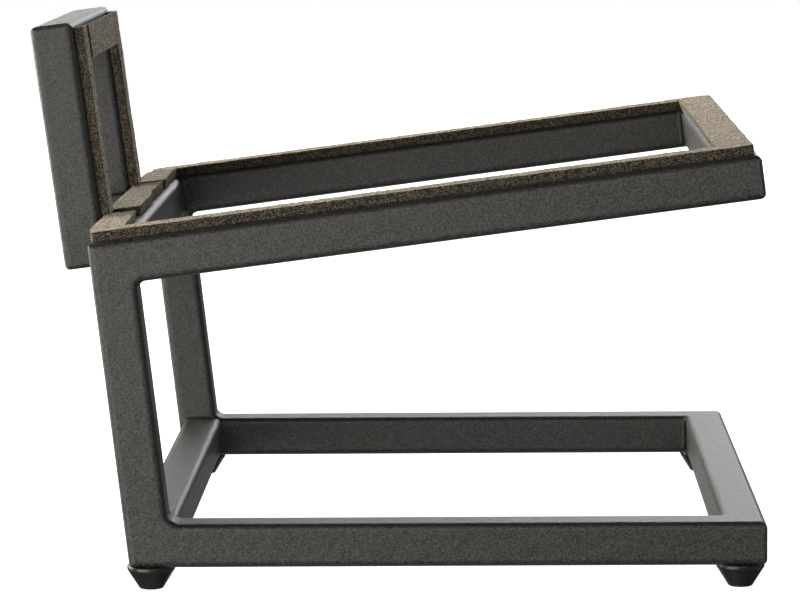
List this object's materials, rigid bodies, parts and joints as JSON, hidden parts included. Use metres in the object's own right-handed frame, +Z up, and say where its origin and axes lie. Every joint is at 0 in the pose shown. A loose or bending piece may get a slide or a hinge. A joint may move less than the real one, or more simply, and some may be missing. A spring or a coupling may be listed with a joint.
{
  "type": "speaker stand",
  "caption": "Low tilted floor stand for a box loudspeaker: welded square steel tube with C-shaped sides, an open sloping platform, a low backrest, foam tape and rubber feet.",
  "frame": {"origin": "on the floor, under the middle of the whole stand's box", "axes": "+X towards the raised front of the platform, -Y the right side seen from the listener, +Z up"},
  "size_m": [0.4238, 0.4024, 0.3182],
  "materials": {
    "powder_coated_steel": "fine-textured charcoal powder coat on mild steel tube",
    "foam_tape": "open-cell polyurethane foam tape, taupe, cut edges",
    "rubber_feet": "moulded black rubber, slight sheen",
    "zinc_plated_steel": "bright zinc plate on steel"
  },
  "bodies": {
    "root": {"base_rail_right": "powder_coated_steel", "base_rail_left": "powder_coated_steel", "base_cross_front": "powder_coated_steel", "base_cross_rear": "powder_coated_steel", "leg_right": "powder_coated_steel", "leg_left": "powder_coated_steel", "platform_rail_right": "powder_coated_steel", "platform_rail_left": "powder_coated_steel", "platform_cross_front": "powder_coated_steel", "platform_cross_rear": "powder_coated_steel", "backrest_upright_right": "powder_coated_steel", "backrest_upright_left": "powder_coated_steel", "backrest_top_tube": "powder_coated_steel", "backrest_bottom_tube": "powder_coated_steel", "side_frame_welds": "powder_coated_steel", "base_welds": "powder_coated_steel", "platform_welds": "powder_coated_steel", "backrest_welds": "powder_coated_steel", "side_strip_right": "foam_tape", "side_strip_left": "foam_tape", "front_strip_right": "foam_tape", "front_strip_left": "foam_tape", "rear_strip_right": "foam_tape", "rear_strip_middle": "foam_tape", "rear_strip_left": "foam_tape", "backrest_strip_right": "foam_tape", "backrest_strip_left": "foam_tape", "backrest_strip_top": "foam_tape", "foot_rear_right": "rubber_feet", "foot_front_right": "rubber_feet", "foot_rear_left": "rubber_feet", "foot_front_left": "rubber_feet", "foot_washers": "zinc_plated_steel", "foot_screws": "zinc_plated_steel", "foot_inserts": "zinc_plated_steel"}
  },
  "joints": []
}
